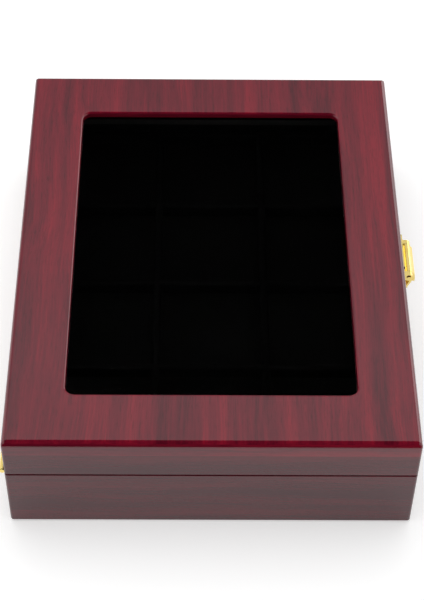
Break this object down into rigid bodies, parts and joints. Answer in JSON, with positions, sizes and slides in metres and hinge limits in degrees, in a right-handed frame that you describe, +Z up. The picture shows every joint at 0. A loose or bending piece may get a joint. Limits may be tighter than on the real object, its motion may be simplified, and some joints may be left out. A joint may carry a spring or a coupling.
{
  "type": "coin display case",
  "caption": "Lacquered wooden case with a hinged lid glazed over a compartmented velvet coin tray, closed by a brass hasp.",
  "frame": {"origin": "centre of the underside, on the surface that the case rests on", "axes": "+X towards the clasp, -X the hinge side, +Y along the length towards the far end, +Z up"},
  "size_m": [0.21, 0.26, 0.065],
  "materials": {
    "lacquered_wood": "striped red-brown hardwood veneer under high-gloss clear lacquer",
    "blackened_wood": "bead stained black, satin",
    "plain_board": "bare birch plywood",
    "velvet": "black velvet on board",
    "felt": "black pressed felt",
    "glass": "clear, low reflection",
    "brass": "polished, lacquered"
  },
  "bodies": {
    "base": {"base_wall_near": "lacquered_wood", "base_wall_far": "lacquered_wood", "base_wall_hinge": "lacquered_wood", "base_wall_clasp": "lacquered_wood", "base_bottom": "plain_board", "base_felt": "felt", "base_lining_near": "velvet", "base_lining_far": "velvet", "base_lining_hinge": "velvet", "base_lining_clasp": "velvet", "tray_risers": "plain_board", "tray_floor": "velvet", "tray_cross_rails": "velvet", "tray_long_rails": "velvet", "hinge_leaf_base": "brass", "hinge_pin": "brass", "hinge_screws_base": "brass", "clasp_keeper": "brass", "clasp_keeper_nails": "brass"},
    "lid": {"lid_top_panel": "lacquered_wood", "lid_wall_near": "lacquered_wood", "lid_wall_far": "lacquered_wood", "lid_wall_hinge": "lacquered_wood", "lid_wall_clasp": "lacquered_wood", "window_glass": "glass", "glass_bead_near": "blackened_wood", "glass_bead_far": "blackened_wood", "glass_bead_hinge": "blackened_wood", "glass_bead_clasp": "blackened_wood", "lid_lining": "velvet", "hinge_leaf_lid": "brass", "hinge_screws_lid": "brass", "clasp_lid_plate": "brass", "clasp_lid_nails": "brass", "clasp_pin": "brass"},
    "hasp": {"hasp": "brass"}
  },
  "joints": [
    {"name": "lid_hinge", "type": "hinge", "parent": "base", "child": "lid", "pos_m": [-0.1011, 0, 0.04], "axis": [0, -1, 0], "range_deg": [0, 100]},
    {"name": "hasp_hinge", "type": "hinge", "parent": "lid", "child": "hasp", "pos_m": [0.1037, 0, 0.0525], "axis": [0, -1, 0], "range_deg": [0, 135]}
  ]
}
